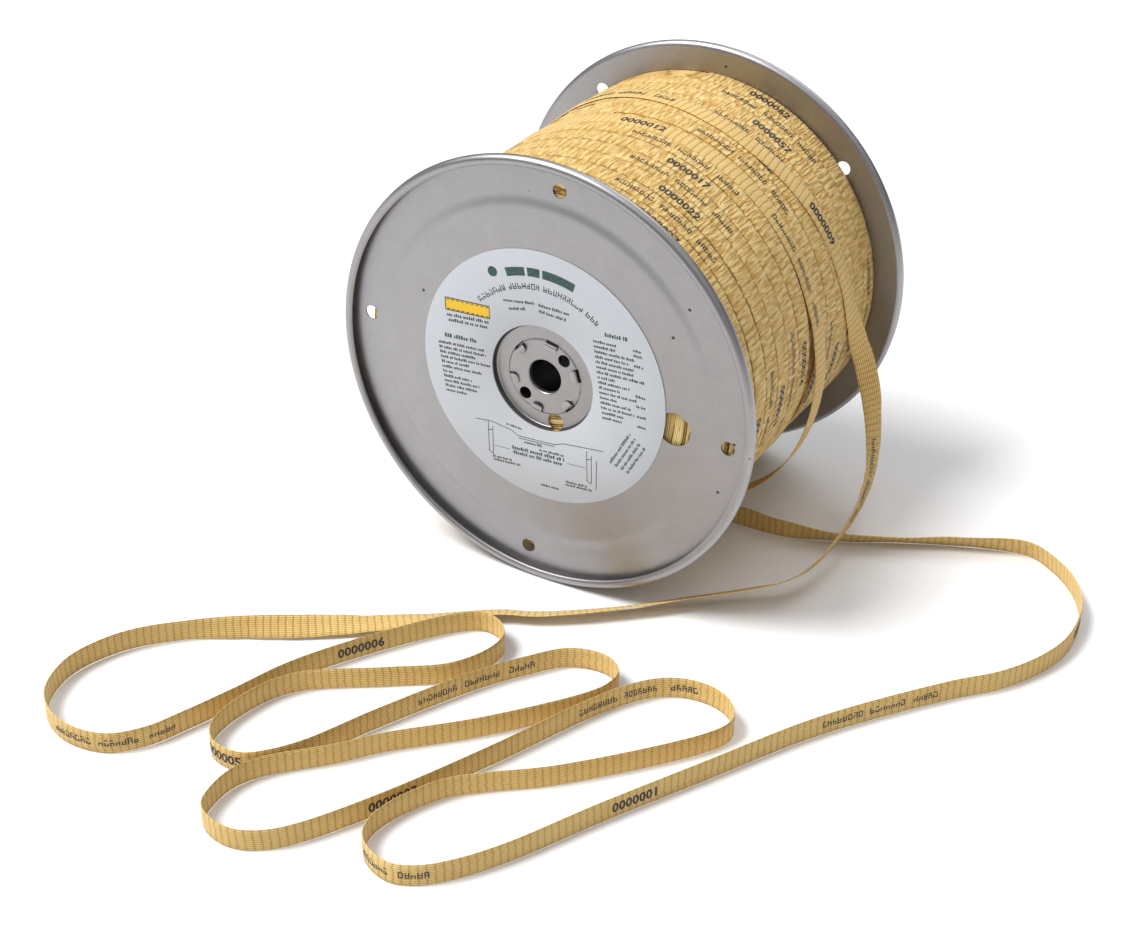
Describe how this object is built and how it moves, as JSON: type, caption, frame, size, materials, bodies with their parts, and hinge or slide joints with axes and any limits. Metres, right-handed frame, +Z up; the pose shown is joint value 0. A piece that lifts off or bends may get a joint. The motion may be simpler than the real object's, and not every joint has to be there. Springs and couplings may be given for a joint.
{
  "type": "reel of measuring tape",
  "caption": "Pressed-steel spool of woven measuring tape for conduit, with its end pulled off and lying in loops.",
  "frame": {"origin": "on the floor, midway between the flanges, under the spool's axis", "axes": "+Z up, +Y along the spool's axis from the labelled flange to the plain one"},
  "size_m": [0.4676, 0.4858, 0.2663],
  "materials": {
    "steel": "plain zinc-bright sheet, faintly mottled",
    "paper": null,
    "tape": "flat woven polyester with lubricant, matt"
  },
  "bodies": {
    "root": {"front_flange": "steel", "rear_flange": "steel", "barrel": "steel", "label": "paper", "tape_pack": "tape", "tape_top_layer": "tape", "tape_last_course": "tape", "tape_slack_turn": "tape", "tape_leaving_turn": "tape", "tape_drop": "tape", "tape_loop_1": "tape", "tape_loop_2": "tape", "tape_loop_3": "tape", "tape_loop_4": "tape", "tape_end_run": "tape"}
  },
  "joints": []
}
